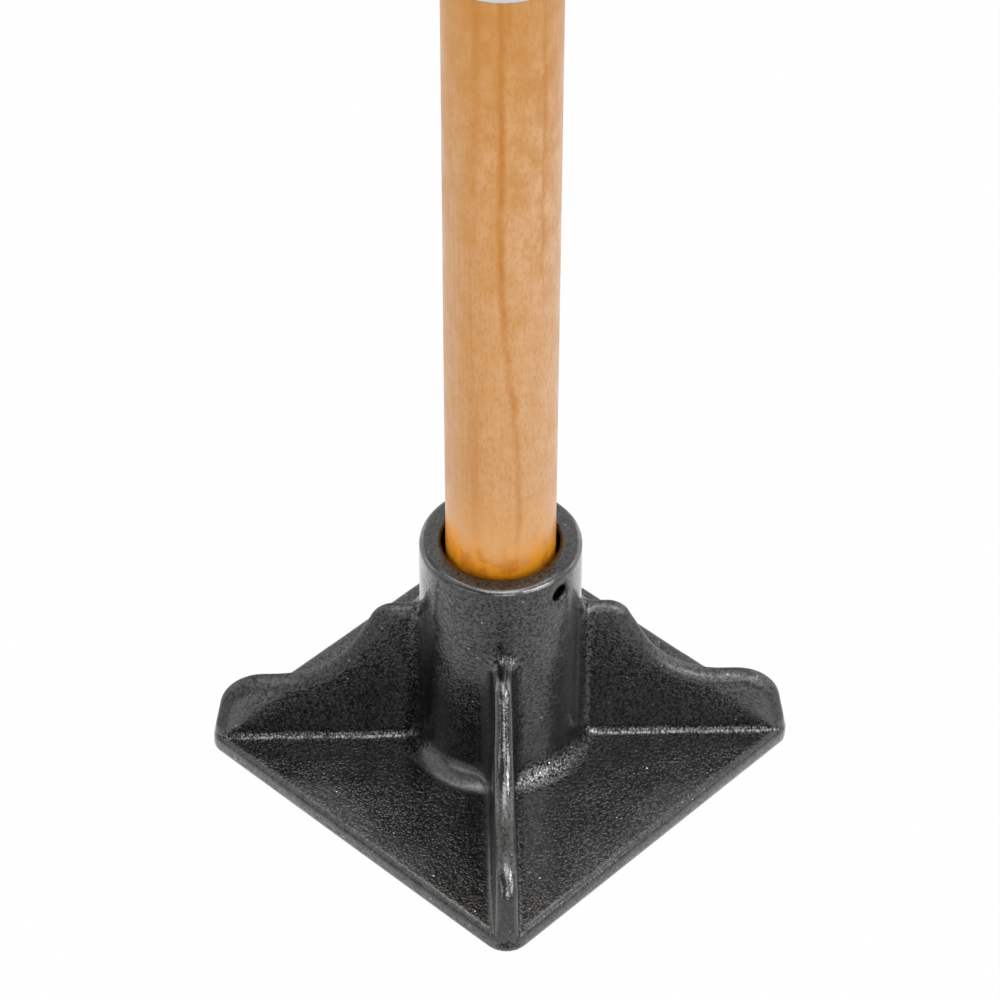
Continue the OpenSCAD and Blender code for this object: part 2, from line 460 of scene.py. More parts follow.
@dataclass(frozen=True)
class SharedEffects:
    """Shader groups that several finishes use."""

    mottle: bpy.types.NodeTree
    specks: bpy.types.NodeTree
    granules: bpy.types.NodeTree

    @classmethod
    def build(cls) -> "SharedEffects":
        """Builds each group once."""
        return cls(cls.mottle_group(), cls.specks_group(), cls.granules_group())

    @staticmethod
    def mottle_group() -> bpy.types.NodeTree:
        """Soft random clouds between 0 and 1, Per Metre across, with Contrast about their middle.

        Returns:
            The group's tree.
        """
        takes = {"Vector": None, "Per Metre": 100.0, "Detail": 2.0, "Contrast": 1.0}
        tree = new_group("mottle", takes, "Value")
        sheet = NodeSheet(tree)
        given = sheet.add("NodeGroupInput").outputs
        feeds = {"Vector": given["Vector"], "Scale": given["Per Metre"], "Detail": given["Detail"]}
        cloud = sheet.add("ShaderNodeTexNoise", feeds).outputs[0]
        middle = 0.5
        stretched = sheet.times(sheet.math("SUBTRACT", cloud, middle), given["Contrast"])
        value = sheet.add("ShaderNodeMath", {0: stretched, 1: middle}, operation="ADD", use_clamp=True)
        sheet.add("NodeGroupOutput", {"Value": value.outputs[0]})
        return tree

    @staticmethod
    def granules_group() -> bpy.types.NodeTree:
        """Close-packed round grains with a height from 0 in the gaps to 1 on top, Per Metre across.

        Returns:
            The group's tree.
        """
        tree = new_group("granules", {"Vector": None, "Per Metre": 900.0}, "Height")
        sheet = NodeSheet(tree)
        given = sheet.add("NodeGroupInput").outputs
        softness = 0.25
        feeds = {"Vector": given["Vector"], "Scale": given["Per Metre"], "Smoothness": softness}
        cell = sheet.add("ShaderNodeTexVoronoi", feeds, feature="SMOOTH_F1")
        height = sheet.math("SUBTRACT", 1.0, cell.outputs["Distance"])
        sheet.add("NodeGroupOutput", {"Height": height})
        return tree

    @staticmethod
    def specks_group() -> bpy.types.NodeTree:
        """Round specks with a height from 0 to 1, in a Share of the cells of a random mesh.

        Returns:
            The group's tree.
        """
        takes = {"Vector": None, "Per Metre": 300.0, "Share": 0.1, "Radius": 0.3}
        tree = new_group("specks", takes, "Height")
        sheet = NodeSheet(tree)
        given = sheet.add("NodeGroupInput").outputs
        cell = sheet.add("ShaderNodeTexVoronoi", {"Vector": given["Vector"], "Scale": given["Per Metre"]})
        chance = sheet.add("ShaderNodeSeparateColor", {"Color": cell.outputs["Color"]}).outputs[0]
        chosen = sheet.math("LESS_THAN", chance, given["Share"])
        nearness = sheet.math("DIVIDE", cell.outputs["Distance"], given["Radius"])
        dome = sheet.spread(nearness, WHOLE, (1.0, 0.0))
        sheet.add("NodeGroupOutput", {"Height": sheet.times(chosen, dome)})
        return tree


@dataclass(frozen=True)
class Mottle:
    """Soft random clouds: how many per metre, their finer detail, their contrast and their stretch."""

    per_metre: float
    detail: float
    contrast: float
    stretch: Triple = (1.0, 1.0, 1.0)


class Finish:
    """A material with one Principled shader."""

    def __init__(self, name: str, effects: SharedEffects) -> None:
        """Makes an empty material.

        Args:
            name: Name of the material.
            effects: Shared shader groups that it may use.
        """
        self.material = bpy.data.materials.new(name)
        self.material.use_nodes = True
        self.sheet = NodeSheet(self.material.node_tree)
        self.effects = effects

    def group(self, tree: bpy.types.NodeTree, feeds: Feeds) -> Socket:
        """Places a shared effect and gives its output."""
        return self.sheet.add("ShaderNodeGroup", feeds, node_tree=tree).outputs[0]

    def mottle(self, clouds: Mottle) -> Socket:
        """Places soft random clouds.

        Args:
            clouds: Their size and strength.

        Returns:
            Their value, from 0 to 1.
        """
        return self.group(self.effects.mottle, {
            "Vector": self.sheet.place(clouds.stretch),
            "Per Metre": clouds.per_metre,
            "Detail": clouds.detail,
            "Contrast": clouds.contrast,
        })

    def bump(self, height: Feed, depth: float) -> Socket:
        """Normal of a surface raised by height times depth in metres."""
        feeds = {"Height": height, "Distance": depth, "Strength": 1.0}
        return self.sheet.add("ShaderNodeBump", feeds).outputs[0]

    def finish(self, feeds: Feeds) -> bpy.types.Material:
        """Adds the Principled shader and the output.

        Args:
            feeds: What goes into the shader.

        Returns:
            The finished material.
        """
        shader = self.sheet.add("ShaderNodeBsdfPrincipled", feeds)
        self.sheet.add("ShaderNodeOutputMaterial", {"Surface": shader.outputs[0]})
        return self.material


@dataclass(frozen=True)
class PaintedIron:
    """Thin black paint over sand-cast iron, with painted shade in the pits, shining on the grains."""

    # Painted shade: the pit colour darkens the hollows of the grain as if no light reached them.
    pit_painted_shade: Colour = (0.005, 0.005, 0.0049, 1.0)
    grain: Colour = (0.114, 0.114, 0.112, 1.0)
    glint: Colour = (0.8, 0.8, 0.8, 1.0)
    metallic: float = 1.0
    pebbles_per_metre: float = 1150.0
    pebble_share: float = 0.65
    sand: Mottle = Mottle(700.0, 0.0, 1.6)
    patches: Mottle = Mottle(70.0, 2.0, 2.0)
    unevenness: Span = (0.7, 1.15)
    grit_per_metre: float = 700.0
    grit_share: float = 0.02
    grit_radius: float = 0.35
    relief: Span = (0.2, 0.75)
    worn: float = 0.66
    grain_depth: float = 0.00024
    gloss: Span = (0.18, 0.27)
    dull: float = 0.3
    coat: float = 0.85
    coat_roughness: float = 0.17

    def material(self, effects: SharedEffects) -> bpy.types.Material:
        """Builds the paint.

        Pebbles and finer sand make the relief, as coarse as the casting says, and it differs from patch to
        patch. The pits are painted darker as shade in the hollows, and a few single grains glint.

        Args:
            effects: Shared shader groups.

        Returns:
            The material.
        """
        finish = Finish("painted_iron", effects)
        sheet = finish.sheet
        place = sheet.place()
        pebbles = finish.group(effects.granules, {"Vector": place, "Per Metre": self.pebbles_per_metre})
        sand = finish.mottle(self.sand)
        patches = finish.mottle(self.patches)
        grit = finish.group(effects.specks, {
            "Vector": place,
            "Per Metre": self.grit_per_metre,
            "Share": self.grit_share,
            "Radius": self.grit_radius,
        })
        coarseness = sheet.attribute(Skin.COARSENESS)
        coarse = sheet.times(pebbles, self.pebble_share)
        height = sheet.plus(coarse, sheet.times(sand, 1.0 - self.pebble_share))
        uneven = sheet.spread(patches, WHOLE, self.unevenness)
        raised = sheet.times(sheet.times(height, uneven), coarseness)
        lit = sheet.spread(height, self.relief, (-self.worn, 1.0 - self.worn))
        lit = sheet.plus(sheet.times(lit, sheet.attribute(Skin.CONTRAST)), self.worn)
        # Painted shade: the pits take the dark pit colour, and the tops of the grains take the paint's own.
        colour = sheet.tint(lit, self.pit_painted_shade, self.grain)
        gloss = sheet.spread(patches, WHOLE, self.gloss)
        return finish.finish({
            "Base Color": sheet.tint(sheet.times(grit, coarseness), colour, self.glint),
            "Metallic": self.metallic,
            "Roughness": sheet.plus(gloss, sheet.times(sheet.attribute(Skin.DULLNESS), self.dull)),
            "Coat Weight": sheet.times(sheet.attribute(Skin.SHINE), self.coat),
            "Coat Roughness": self.coat_roughness,
            "Normal": finish.bump(raised, self.grain_depth),
        })


@dataclass(frozen=True)
class GrowthLine:
    """Course of a soft dark line up the front of the handle, in metres to the right of its middle."""

    low_aside: float
    high_aside: float
    low_height: float
    high_height: float
    half_width: float
    low_strength: float
    high_strength: float


@dataclass(frozen=True)
class VarnishedWood:
    """Clear varnish over pale straight-grained hardwood, with growth lines at the front.

    Heights are metres above the floor, and sides are metres to the right of the handle's middle.
    """

    pale: Colour = (0.81, 0.46, 0.225, 1.0)
    # Painted light: this paler tint lightens the right side of the handle, where more light falls.
    painted_light_peach: Colour = (0.88, 0.55, 0.33, 1.0)
    warm: Colour = (0.68, 0.31, 0.075, 1.0)
    ochre: Colour = (0.62, 0.25, 0.03, 1.0)
    line: Colour = (0.58, 0.20, 0.012, 1.0)
    # Painted light: this tint lifts the wood just above the socket, as light thrown back from the floor and
    # the iron would.
    bright: Colour = (0.90, 0.46, 0.17, 1.0)
    # Partly a pooled varnish stain and partly painted light: the colour is brightened to make up for the
    # shade at the socket's mouth.
    stain_with_painted_light: Colour = (1.0, 0.37, 0.015, 1.0)
    burnt: Colour = (0.50, 0.10, 0.001, 1.0)
    # Painted shade: this tint darkens the left side of the handle, where less light falls.
    shade: Colour = (0.58, 0.33, 0.17, 1.0)
    facing: Triple = (0.6895, -0.7243, 0.0)
    across: Triple = (0.7243, 0.6895, 0.0)
    fibres: Mottle = Mottle(900.0, 3.0, 2.4, (1.0, 1.0, 0.03))
    bands: Mottle = Mottle(150.0, 3.0, 2.4, (1.0, 1.0, 0.03))
    clouds: Mottle = Mottle(110.0, 5.0, 3.0, (1.0, 1.0, 0.5))
    blotches: Mottle = Mottle(170.0, 5.0, 4.0, (1.0, 1.0, 0.7))
    pores: Mottle = Mottle(1000.0, 2.0, 2.0, (1.0, 1.0, 0.4))
    cloud_share: float = 0.5
    fibre_share: float = 0.5
    right_side: Span = (-0.01, 0.019)
    painted_light_share: float = 0.65
    left_side: Span = (-0.019, 0.0)
    painted_shade_share: float = 0.5
    below_label: Span = (0.24, 0.33)
    warm_share: float = 0.7
    spotted_heights: Span = (0.15, 0.30)
    spotted_shares: Span = (0.25, 0.55)
    open_pores: Span = (0.4, 0.9)
    pore_share: float = 0.42
    painted_bounce_heights: Span = (0.10, 0.14)
    painted_bounce_share: float = 0.75
    varnish_and_light_heights: Span = (0.0915, 0.1085)
    varnish_and_light_by_clouds: float = 0.008
    varnish_and_light_by_fibres: float = 0.001
    varnish_and_light_by_side: float = 0.25
    burnt_blotches: Span = (0.4, 1.0)
    burnt_share: float = 0.45
    gloss: Span = (0.28, 0.4)
    reflection: float = 0.35
    fibre_depth: float = 0.00003
    waver: Mottle = Mottle(70.0, 4.0, 1.5, (0.2, 0.2, 1.0))
    waver_reach: float = 0.0007
    line_breaks: Span = (0.2, 0.7)
    broken_strengths: Span = (0.45, 1.0)
    front_fade: Span = (0.0, 0.01)
    lines: tuple[GrowthLine, ...] = (
        GrowthLine(0.0058, -0.0003, 0.135, 0.235, 0.0021, 0.45, 0.85),
        GrowthLine(-0.0005, 0.0022, 0.295, 0.325, 0.0020, 0.0, 0.5),
        GrowthLine(-0.0103, -0.0078, 0.230, 0.320, 0.0030, 0.0, 0.5),
        GrowthLine(-0.0082, -0.0090, 0.150, 0.185, 0.0034, 0.2, 0.0),
        GrowthLine(0.0138, 0.0130, 0.205, 0.230, 0.0012, 0.0, 0.5),
    )

    def material(self, effects: SharedEffects) -> bpy.types.Material:
        """Builds the wood.

        Bands, fibres and pores run along the handle. The varnish is warmer towards the label, and it has
        pooled and darkened where the handle enters the socket; that stain is also painted light, brightened
        against the shade at the socket's mouth. Painted light lifts the wood just above the socket and on its
        right side, and painted shade darkens its left side.

        Args:
            effects: Shared shader groups.

        Returns:
            The material.
        """
        finish = Finish("varnished_wood", effects)
        sheet = finish.sheet
        fibres = finish.mottle(self.fibres)
        clouds = finish.mottle(self.clouds)
        blotches = finish.mottle(self.blotches)
        place = sheet.place()
        height = sheet.height(place)
        side = sheet.dot(place, self.across)
        spotted = sheet.times(blotches, sheet.spread(height, self.spotted_heights, self.spotted_shares))
        base = sheet.tint(finish.mottle(self.bands), self.pale, self.warm)
        base = sheet.tint(sheet.times(clouds, self.cloud_share), base, self.warm)
        # Painted light on the right side of the handle.
        base = sheet.tint(sheet.spread(side, self.right_side, (0.0, self.painted_light_share)), base, self.painted_light_peach)
        # Painted shade on the left side of the handle.
        base = sheet.tint(sheet.spread(side, self.left_side, (self.painted_shade_share, 0.0)), base, self.shade)
        base = sheet.tint(sheet.times(fibres, self.fibre_share), base, self.pale)
        base = sheet.tint(sheet.spread(height, self.below_label, (0.0, self.warm_share)), base, self.warm)
        base = sheet.tint(spotted, base, self.ochre)
        pores = sheet.spread(finish.mottle(self.pores), self.open_pores, (0.0, self.pore_share))
        base = sheet.tint(pores, base, self.ochre)
        # Painted light just above the socket.
        low = sheet.spread(height, self.painted_bounce_heights, (self.painted_bounce_share, 0.0))
        base = sheet.tint(low, base, self.bright)
        for line in self.lines:
            base = sheet.tint(self.shown(finish, line), base, self.line)
        # Pooled varnish stain near the socket, brightened as painted light against the shade at the mouth.
        burnt = sheet.spread(blotches, self.burnt_blotches, (0.0, self.burnt_share))
        stain_with_painted_light = sheet.tint(burnt, self.stain_with_painted_light, self.burnt)
        uneven = sheet.times(clouds, self.varnish_and_light_by_clouds)
        uneven = sheet.plus(uneven, sheet.times(fibres, self.varnish_and_light_by_fibres))
        uneven = sheet.plus(uneven, sheet.times(sheet.math("ABSOLUTE", side), self.varnish_and_light_by_side))
        varnish_and_light = sheet.spread(sheet.math("SUBTRACT", height, uneven), self.varnish_and_light_heights, (1.0, 0.0))
        return finish.finish({
            "Base Color": sheet.tint(varnish_and_light, base, stain_with_painted_light),
            "Roughness": sheet.spread(clouds, WHOLE, self.gloss),
            "Specular IOR Level": self.reflection,
            "Normal": finish.bump(fibres, self.fibre_depth),
        })

    def shown(self, finish: Finish, line: GrowthLine) -> Socket:
        """Mask of a growth line that wavers a little.

        Args:
            finish: The wood being built.
            line: Course of the line.

        Returns:
            Strength of the line, from 0 to 1.
        """
        sheet = finish.sheet
        place = sheet.place()
        height = sheet.height(place)
        heights = (line.low_height, line.high_height)
        waver = finish.mottle(self.waver)
        middle = sheet.spread(height, heights, (line.low_aside, line.high_aside))
        middle = sheet.plus(middle, sheet.spread(waver, WHOLE, (-self.waver_reach, self.waver_reach)))
        off = sheet.math("ABSOLUTE", sheet.math("SUBTRACT", sheet.dot(place, self.across), middle))
        stripe = sheet.spread(off, (0.0, line.half_width), (1.0, 0.0))
        strength = sheet.spread(height, heights, (line.low_strength, line.high_strength))
        broken = sheet.times(strength, sheet.spread(waver, self.line_breaks, self.broken_strengths))
        seen = sheet.spread(sheet.dot(place, self.facing), self.front_fade, WHOLE)
        return sheet.times(sheet.times(stripe, broken), seen)


@dataclass(frozen=True)
class ScrewSteel:
    """Plain bright steel, a little dulled."""

    colour: Colour = (0.4, 0.4, 0.41, 1.0)
    tarnish: Colour = (0.25, 0.24, 0.23, 1.0)
    film: Mottle = Mottle(900.0, 3.0, 1.5)
    film_depth: float = 0.00003
    gloss: Span = (0.3, 0.5)
    metallic: float = 1.0

    def material(self, effects: SharedEffects) -> bpy.types.Material:
        """Builds the steel.

        Args:
            effects: Shared shader groups.

        Returns:
            The material.
        """
        finish = Finish("screw_steel", effects)
        film = finish.mottle(self.film)
        return finish.finish({
            "Base Color": finish.sheet.tint(film, self.colour, self.tarnish),
            "Metallic": self.metallic,
            "Roughness": finish.sheet.spread(film, WHOLE, self.gloss),
            "Normal": finish.bump(film, self.film_depth),
        })


@dataclass(frozen=True)
class LabelPaper:
    """Blank white coated paper with faint fibres."""

    colour: Colour = (0.86, 0.89, 0.93, 1.0)
    shade: Colour = (0.80, 0.83, 0.87, 1.0)
    fibres: Mottle = Mottle(700.0, 3.0, 1.5)
    clouds: Mottle = Mottle(40.0, 2.0, 1.5)
    fibre_depth: float = 0.00002
    gloss: Span = (0.42, 0.55)

    def material(self, effects: SharedEffects) -> bpy.types.Material:
        """Builds the paper.

        Args:
            effects: Shared shader groups.

        Returns:
            The material.
        """
        finish = Finish("label_paper", effects)
        fibres = finish.mottle(self.fibres)
        return finish.finish({
            "Base Color": finish.sheet.tint(finish.mottle(self.clouds), self.colour, self.shade),
            "Roughness": finish.sheet.spread(fibres, WHOLE, self.gloss),
            "Normal": finish.bump(fibres, self.fibre_depth),
        })


@dataclass(frozen=True)
class CastSkin:
    """How the casting's surface differs from place to place.

    Ahead is towards the camera, left is to its left, and lengths are millimetres. A value eases in or out
    over each span.
    """

    arm: float = 2.0
    crest_bulge: Span = (0.08, 0.35)
    hollow_bulge: Span = (0.07, 0.2)
    above_plate: Span = (1.0, 5.0)
    rib_end: Span = (84.0, 98.0)
    pool_ahead: Span = (10.0, 18.0)
    pool_left: Span = (2.0, 6.0)
    ground_depth: Span = (0.5, 3.0)
    below_rim: Span = (6.0, 10.0)
    rim_front: Span = (5.0, 20.0)
    flat_rise: Span = (0.85, 0.98)
    slope_start: Span = (28.0, 36.0)
    slope_end: Span = (60.0, 74.0)
    outer_bend: Span = (88.0, 95.0)
    left_rib: Span = (25.0, 40.0)
    crest_wear: float = 0.5
    end_wear: float = 0.6
    pool_cover: float = 0.65
    rim_wear: float = 0.45
    flat_calm: float = 0.25
    crest_dull: float = 0.75
    left_crest_dull: float = 0.2
    rim_dull: float = 0.75
    rim_blur: float = 1.2
    hollow_dull: float = 0.8
    pool_dull: float = 0.5
    polish: float = 0.4

    def values(
        self, distance: Field, thickness: float, socket_height: float, points: Array
    ) -> dict[Skin, Array]:
        """How coarse the skin is, how much its colour varies, how well it shines and how rough its shine is.

        The bulge of the skin is the field's mean over a small star less its value in the middle, times six
        over the star's arm. Crests and rib ends are worn, the rim is ground and the plate is finer than the
        rest. Paint has run into the fillet left of the front rib and shines there, while the other hollows
        and crests are dull. The front rib is polished on its slope and at its outer bend.

        Args:
            distance: Field of the casting.
            thickness: Thickness of the plate.
            socket_height: Height of the rim.
            points: Places on the skin, one row each.

        Returns:
            One value per point for each attribute.
        """
        star = np.concatenate([np.eye(3), -np.eye(3)]) * self.arm
        around = np.stack([distance(points + offset) for offset in star])
        bulge = len(star) * (around.mean(axis=0) - distance(points)) / self.arm
        rise = (around[2] - around[5]) / (2.0 * self.arm)
        depth = socket_height - points[:, 2]
        ahead = (points[:, 0] - points[:, 1]) / math.sqrt(2.0)
        left = -(points[:, 0] + points[:, 1]) / math.sqrt(2.0)
        risen = smooth_step(points[:, 2] - thickness, *self.above_plate)
        crest = smooth_step(bulge, *self.crest_bulge)
        hollow = smooth_step(-bulge, *self.hollow_bulge)
        rib_end = risen * smooth_step(np.maximum(np.abs(ahead), np.abs(left)), *self.rib_end)
        pooled = smooth_step(ahead, *self.pool_ahead) * smooth_step(left, *self.pool_left) * hollow
        ground = 1.0 - smooth_step(depth, *self.ground_depth)
        flat = smooth_step(rise, *self.flat_rise) * (1.0 - risen)
        worn = np.maximum(self.crest_wear * crest, self.end_wear * rib_end)
        coarse = (1.0 - np.maximum(worn, self.pool_cover * pooled)) * (1.0 - self.rim_wear * ground)
        slope = smooth_step(ahead, *self.slope_start) * (1.0 - smooth_step(ahead, *self.slope_end))
        polished = crest * risen * (slope + smooth_step(ahead, *self.outer_bend))
        dull = self.crest_dull + self.left_crest_dull * smooth_step(left, *self.left_rib)
        dull = dull * smooth_step(depth, *self.below_rim) * (crest * risen - polished)
        dull_rim = self.rim_dull * ground * (1.0 - crest) * smooth_step(ahead, *self.rim_front)
        dull_hollow = self.hollow_dull * (hollow - pooled)
        blurred = np.maximum(self.pool_dull * pooled, dull) + self.rim_blur * dull_rim
        return {
            Skin.COARSENESS: coarse,
            Skin.CONTRAST: coarse * (1.0 - self.flat_calm * flat),
            Skin.SHINE: 1.0 - np.maximum(dull_hollow, np.maximum(dull, dull_rim)),
            Skin.DULLNESS: blurred - self.polish * polished,
        }


@dataclass
class TamperHead:
    """The iron casting: a square plate, four diagonal ribs and the handle socket, in millimetres."""

    half_side: float = 75.0
    thickness: float = 7.0
    corner_radius: float = 6.5
    front_corner_radius: float = 9.0
    top_edge: float = 2.2
    bottom_edge: float = 1.0
    socket_radius: float = 28.2
    socket_height: float = 98.0
    rim_edge: float = 2.2
    mouth_edge: float = 0.4
    socket_floor: float = 10.0
    bore_foot: float = 19.1
    bore_mouth: float = 20.6
    hole_radius: float = 3.25
    hole_height: float = 89.8
    hole_edge: float = 0.6
    shoulder_height: float = 67.0
    shoulder_reach: float = 37.2
    shoulder_radius: float = 9.0
    slope_degrees: float = 63.0
    sweep_radius: float = 32.0
    ridge_height: float = 32.6
    outer_radius: float = 16.0
    end_reach: float = 102.98
    end_degrees: float = 11.5
    rib_half: float = 3.1
    side_degrees: float = 1.0
    rib_edge: float = 2.9
    crown_radius: float = 12.0
    trim_edge: float = 0.6
    plate_fillet: float = 8.0
    root_fillet: float = 2.0
    web_flare: float = 5.5
    flare_gap: float = 0.3
    shoulder_fillet: float = 2.5
    fillet_rise: Span = (3.0, 20.0)
    fillet_fade: Span = (0.5, 6.0)
    fillet_least: float = 0.02
    broad_wave: Undulation = Undulation(14.0, 3)
    fine_wave: Undulation = Undulation(5.0, 8)
    broad_share: float = 0.6
    wave_height: float = 0.16
    wave_fade: Span = (0.4, 3.0)
    wave_reach: float = 4.0
    arc_steps: int = 40
    table_low: Span = (-12.0, -8.0)
    table_step: float = 0.5
    table_sizes: tuple[int, int] = (270, 180)
    grid_step: float = 1.06
    grid_room: float = 2.0
    grid_floor: float = -1.37

    def __post_init__(self) -> None:
        """Works out the table of the ridge line."""
        self.table = self.ridge_table()

    def ridge_line(self) -> Array:
        """Ridge of a rib, from the axis outwards, with its bends as circular arcs.

        The shoulder turns down into a straight slope, the sweep turns level again, and the outer bend turns
        down into the leaning end.

        Returns:
            Rows of r and z.
        """
        slope = math.radians(self.slope_degrees)
        lean = math.radians(self.end_degrees)
        turn = math.pi / 2.0 - lean
        drop = self.shoulder_height - self.ridge_height
        bends = self.shoulder_radius + self.sweep_radius
        sweep_end = self.shoulder_reach + bends * math.tan(slope / 2.0) + drop / math.tan(slope)
        bend_foot = self.ridge_height - self.outer_radius * (1.0 - math.cos(turn))
        end_at_bend = self.end_reach - (bend_foot - self.thickness) * math.tan(lean)
        outer_reach = end_at_bend - self.outer_radius * math.sin(turn)
        down = np.linspace(0.0, slope, self.arc_steps)
        last = np.linspace(0.0, turn, self.arc_steps)
        shoulder = np.stack([
            self.shoulder_reach + self.shoulder_radius * np.sin(down),
            self.shoulder_height - self.shoulder_radius * (1.0 - np.cos(down)),
        ], axis=1)
        sweep = np.stack([
            sweep_end - self.sweep_radius * np.sin(down[::-1]),
            self.ridge_height + self.sweep_radius * (1.0 - np.cos(down[::-1])),
        ], axis=1)
        outer = np.stack([
            outer_reach + self.outer_radius * np.sin(last),
            self.ridge_height - self.outer_radius * (1.0 - np.cos(last)),
        ], axis=1)
        below = -40.0
        behind = -60.0
        foot = [[self.end_reach - (below - self.thickness) * math.tan(lean), below]]
        return np.concatenate([[[behind, self.shoulder_height]], shoulder, sweep, outer, foot])

    def ridge_table(self) -> Array:
        """Distances to the ridge line on a fine (r, z) grid, each to the nearest of its straight steps.

        Returns:
            One distance per grid point, positive above the line.
        """
        reach = self.table_low[0] + self.table_step * np.arange(self.table_sizes[0])
        level = self.table_low[1] + self.table_step * np.arange(self.table_sizes[1])
        points = np.stack(np.meshgrid(reach, level, indexing="ij"), axis=-1).reshape(-1, 1, 2)
        line = self.ridge_line()
        start = line[:-1]
        run = line[1:] - start
        share = np.clip(np.sum((points - start) * run, axis=2) / np.sum(run * run, axis=1), 0.0, 1.0)
        gaps = np.linalg.norm(points - start - share[..., None] * run, axis=2)
        above = points[:, 0, 1] > np.interp(points[:, 0, 0], line[:, 0], line[:, 1])
        return (np.where(above, 1.0, -1.0) * gaps.min(axis=1)).reshape(self.table_sizes)

    def above_ridge(self, reach: Array, level: Array) -> Array:
        """Distance to the ridge line, read from the table with straight steps between its points.

        Args:
            reach: Distances r along the rib from the axis.
            level: Heights z.

        Returns:
            One distance per pair, positive above the line.
        """
        place = (np.stack([reach, level], axis=1) - self.table_low) / self.table_step
        short_of_last = 1.001
        place = np.clip(place, 0.0, np.array(self.table_sizes) - short_of_last)
        base = place.astype(int)
        right, up = (place - base).T
        i, j = base.T
        lower = self.table[i, j] * (1.0 - right) + self.table[i + 1, j] * right
        upper = self.table[i, j + 1] * (1.0 - right) + self.table[i + 1, j + 1] * right
        return lower * (1.0 - up) + upper * up

    def outline(self, points: Array) -> Array:
        """Distance to the plate's outline seen from above, a square with rounded corners.

        Args:
            points: Places in millimetres, one row each.

        Returns:
            One distance per point, negative inside.
        """
        x, y, _ = points.T
        corner = np.where((x > 0.0) & (y < 0.0), self.front_corner_radius, self.corner_radius)
        over_x = np.abs(x) - (self.half_side - corner)
        over_y = np.abs(y) - (self.half_side - corner)
        outside = np.hypot(np.maximum(over_x, 0.0), np.maximum(over_y, 0.0))
        return outside + np.minimum(np.maximum(over_x, over_y), 0.0) - corner

    def ribs(self, points: Array) -> Array:
        """Distance to the ribs.

        A rib is what lies under the crowned ridge line and between two leaning faces. Near the socket the
        faces flare along a quarter circle of radius R: at distance d from the wall, by
        R - sqrt(R^2 - (R - d)^2).

        Args:
            points: Places in millimetres, one row each.

        Returns:
            One distance per point.
        """
        x, y, z = points.T
        reach = (np.abs(x) + np.abs(y)) / math.sqrt(2.0)
        aside = np.abs(np.abs(x) - np.abs(y)) / math.sqrt(2.0)
        draft = math.radians(self.side_degrees)
        half = self.rib_half + (self.shoulder_height - z) * math.tan(draft)
        room = np.clip(np.hypot(x, y) - self.socket_radius, self.flare_gap, self.web_flare)
        half += self.web_flare - np.sqrt(self.web_flare**2 - (self.web_flare - room) ** 2)
        faces = (aside - half) * math.cos(draft)
        crown = np.minimum(aside, self.rib_half) ** 2 / (2.0 * self.crown_radius)
        return round_overlap(self.above_ridge(reach, z) + crown, faces, self.rib_edge)

    def distance(self, points: Array) -> Array:
        """Distance to the whole casting, negative in the iron.

        The plate and the socket join in a wide fillet, and the flared ribs join both in a small one that
        ends at the plate's outline. The tapered bore and the screw hole are cut out, and slow waves make the
        skin uneven.

        Args:
            points: Places in millimetres, one row each.

        Returns:
            One distance per point.
        """
        x, y, z = points.T
        out = np.hypot(x, y)
        outline = self.outline(points)
        plate = round_overlap(outline, z - self.thickness, self.top_edge)
        socket = round_overlap(out - self.socket_radius, z - self.socket_height, self.rim_edge)
        body = round_union(plate, socket, self.plate_fillet)
        risen = smooth_step(z - self.thickness, *self.fillet_rise)
        fillet = self.root_fillet + (self.shoulder_fillet - self.root_fillet) * risen
        fillet *= self.fillet_least + (1.0 - self.fillet_least) * smooth_step(-outline, *self.fillet_fade)
        ribs = round_overlap(self.ribs(points), outline, self.trim_edge)
        body = round_overlap(round_union(body, ribs, fillet), -z, self.bottom_edge)
        taper = (self.bore_mouth - self.bore_foot) / (self.socket_height - self.socket_floor)
        bore = np.maximum(out - self.bore_foot - taper * (z - self.socket_floor), self.socket_floor - z)
        body = round_overlap(body, -bore, self.mouth_edge)
        hole = np.maximum(np.hypot(y, z - self.hole_height) - self.hole_radius, -x)
        body = round_overlap(body, -hole, self.hole_edge)
        near = np.abs(body) < self.wave_reach
        body[near] += self.waves(points[near])
        return body

    def waves(self, points: Array) -> Array:
        """Unevenness of the cast skin, a broad wave and a finer one, that fades out at the underside.

        Args:
            points: Places in millimetres, one row each.

        Returns:
            One height per point.
        """
        broad = self.broad_share * self.broad_wave.heights(points)
        fine = (1.0 - self.broad_share) * self.fine_wave.heights(points)
        return self.wave_height * (broad + fine) * smooth_step(points[:, 2], *self.wave_fade)

    def open_underside(self, points: Array, quads: Array) -> list:
        """Faces with the flat middle of the underside as one face.

        Args:
            points: Vertex places.
            quads: Faces of the whole skin.

        Returns:
            The other faces, and one polygon in the order of the angle round the centre.
        """
        flatness = 0.02
        border_width = 8.0
        middle = points[quads].mean(axis=1)
        reach = np.abs(middle[:, :2]).max(axis=1)
        level = np.abs(points[quads][:, :, 2]).max(axis=1)
        flat = (level < flatness) & (reach < self.half_side - border_width)
        kept = quads[~flat]
        border = np.intersect1d(kept, quads[flat])
        turn = np.arctan2(points[border, 1], points[border, 0])
        cap = border[np.argsort(-turn)]
        return kept.tolist() + [cap.tolist()]

    def build(self, effects: SharedEffects) -> bpy.types.Object:
        """Skins the casting and paints it.

        Args:
            effects: Shared shader groups.

        Returns:
            The dressed head.
        """
        edge = self.half_side + self.grid_room
        low = (-edge, -edge, self.grid_floor)
        high = (edge, edge, self.socket_height + self.grid_room)
        points, quads = SurfaceNet(low, high, self.grid_step).skin(self.distance)
        faces = self.open_underside(points, quads)
        thing = put_mesh(Piece.HEAD, points, faces, PaintedIron().material(effects))
        skins = CastSkin().values(self.distance, self.thickness, self.socket_height, points)
        for skin, values in skins.items():
            put_values(thing, skin, values)
        return thing


